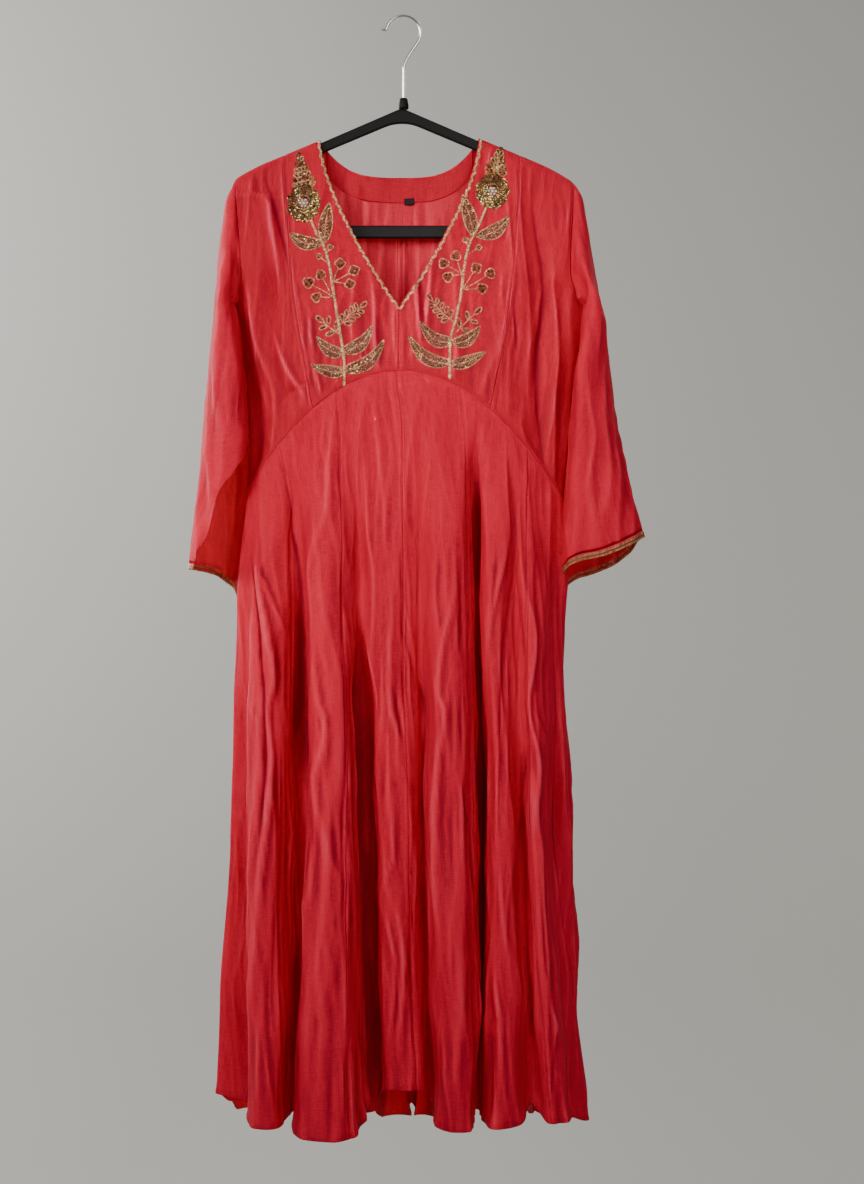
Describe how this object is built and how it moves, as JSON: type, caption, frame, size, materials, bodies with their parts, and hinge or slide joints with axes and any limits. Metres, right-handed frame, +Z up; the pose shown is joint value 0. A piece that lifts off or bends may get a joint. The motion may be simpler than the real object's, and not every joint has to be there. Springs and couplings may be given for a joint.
{
  "type": "anarkali gown on hanger",
  "caption": "Kalidar anarkali gown with an arched empire seam, gored skirt, V neck with gold scalloped trim and raised embroidery, hanging on a black hanger.",
  "frame": {"origin": "underside of the hook's wire at its crest, where a rail carries it", "axes": "+Z up, the gown's front faces -Y, +X is the viewer's right from the front"},
  "size_m": [0.5703, 0.2237, 1.4008],
  "materials": {
    "cloth": "woven cotton silk, soft sheen",
    "cloth_inside": "woven cotton silk, wrong side",
    "gold_lace": "woven metallic trim",
    "beads": "sequins and beads",
    "thread": "twisted metallic thread",
    "label": "bare woven label",
    "hanger": "satin moulded",
    "hook": "polished wire"
  },
  "bodies": {
    "root": {"hanger": "hanger", "hanger_collar": "hanger", "hook": "hook", "bodice_front_centre_left": "cloth", "bodice_front_centre_right": "cloth", "bodice_front_side_left": "cloth", "bodice_front_side_right": "cloth", "bodice_back_centre_left": "cloth", "bodice_back_centre_right": "cloth", "bodice_back_side_left": "cloth", "bodice_back_side_right": "cloth", "skirt_front_far_left": "cloth", "skirt_front_left": "cloth", "skirt_front_mid_left": "cloth", "skirt_front_mid_right": "cloth", "skirt_front_right": "cloth", "skirt_front_far_right": "cloth", "skirt_back_far_right": "cloth", "skirt_back_right": "cloth", "skirt_back_mid_right": "cloth", "skirt_back_mid_left": "cloth", "skirt_back_left": "cloth", "skirt_back_far_left": "cloth", "sleeve_left": "cloth", "sleeve_right": "cloth", "cuff_trim_left": "gold_lace", "cuff_trim_right": "gold_lace", "back_neck_facing": "cloth_inside", "neck_trim_left": "gold_lace", "neck_trim_right": "gold_lace", "label": "label", "flower_left": "beads", "flower_right": "beads", "leaf_left_1": "beads", "leaf_left_2": "beads", "leaf_left_3": "beads", "leaf_left_4": "beads", "leaf_left_5": "beads", "leaf_left_6": "beads", "leaf_right_1": "beads", "leaf_right_2": "beads", "leaf_right_3": "beads", "leaf_right_4": "beads", "leaf_right_5": "beads", "leaf_right_6": "beads", "stem_left": "thread", "stem_right": "thread"}
  },
  "joints": []
}
